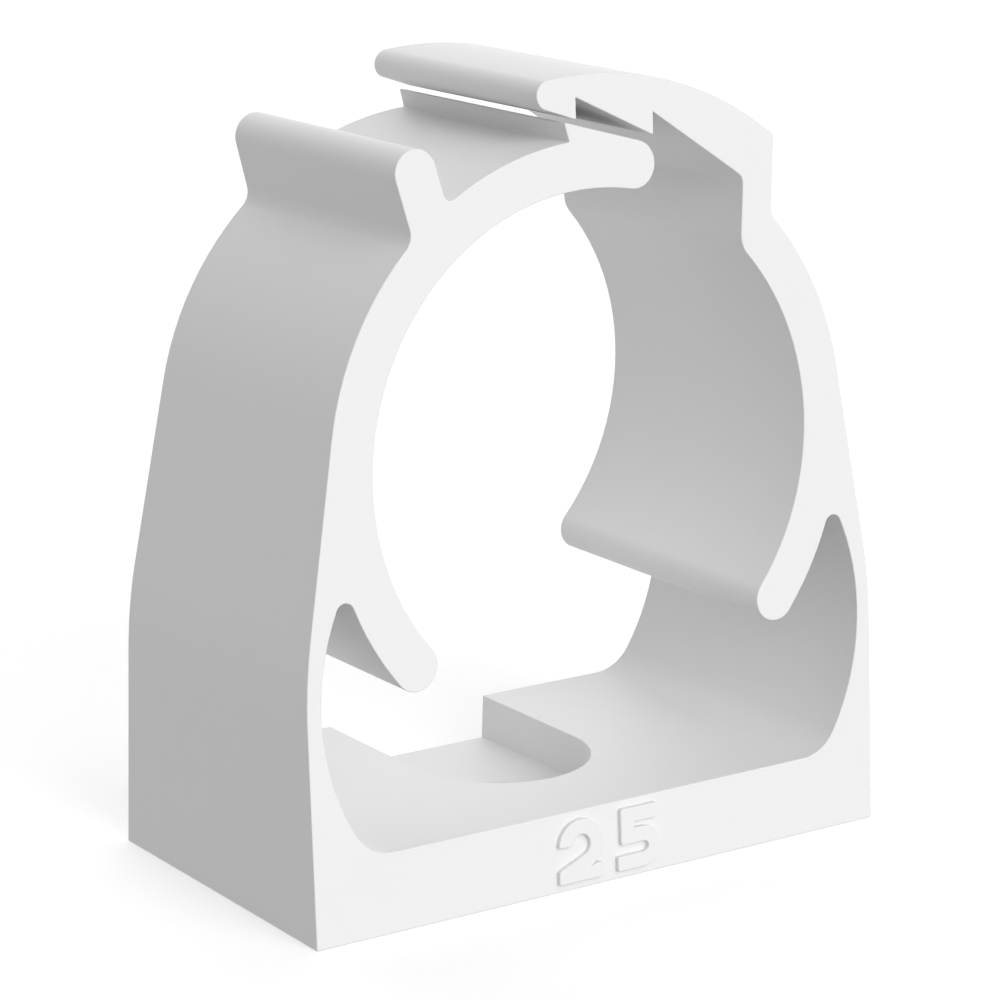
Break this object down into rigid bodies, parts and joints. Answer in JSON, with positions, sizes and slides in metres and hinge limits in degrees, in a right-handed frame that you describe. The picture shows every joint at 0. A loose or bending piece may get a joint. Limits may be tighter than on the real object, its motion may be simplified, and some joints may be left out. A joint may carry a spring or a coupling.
{
  "type": "one-hole pipe clamp",
  "caption": "One-piece plastic snap clamp: a split ring on sprung walls grips a pipe, a toothed beam latches over a catch, and a recessed base takes a screw.",
  "frame": {"origin": "centre of the flat mounting face under the base", "axes": "+Z away from the wall, towards the latch; the pipe lies along Y, +Y is the side where the screw recess opens; +X is the side of the toothed beam"},
  "size_m": [0.033, 0.0182, 0.0389],
  "materials": {
    "white_plastic": "fine matt moulded white plastic"
  },
  "bodies": {
    "root": {"clamp_body": "white_plastic"}
  },
  "joints": []
}
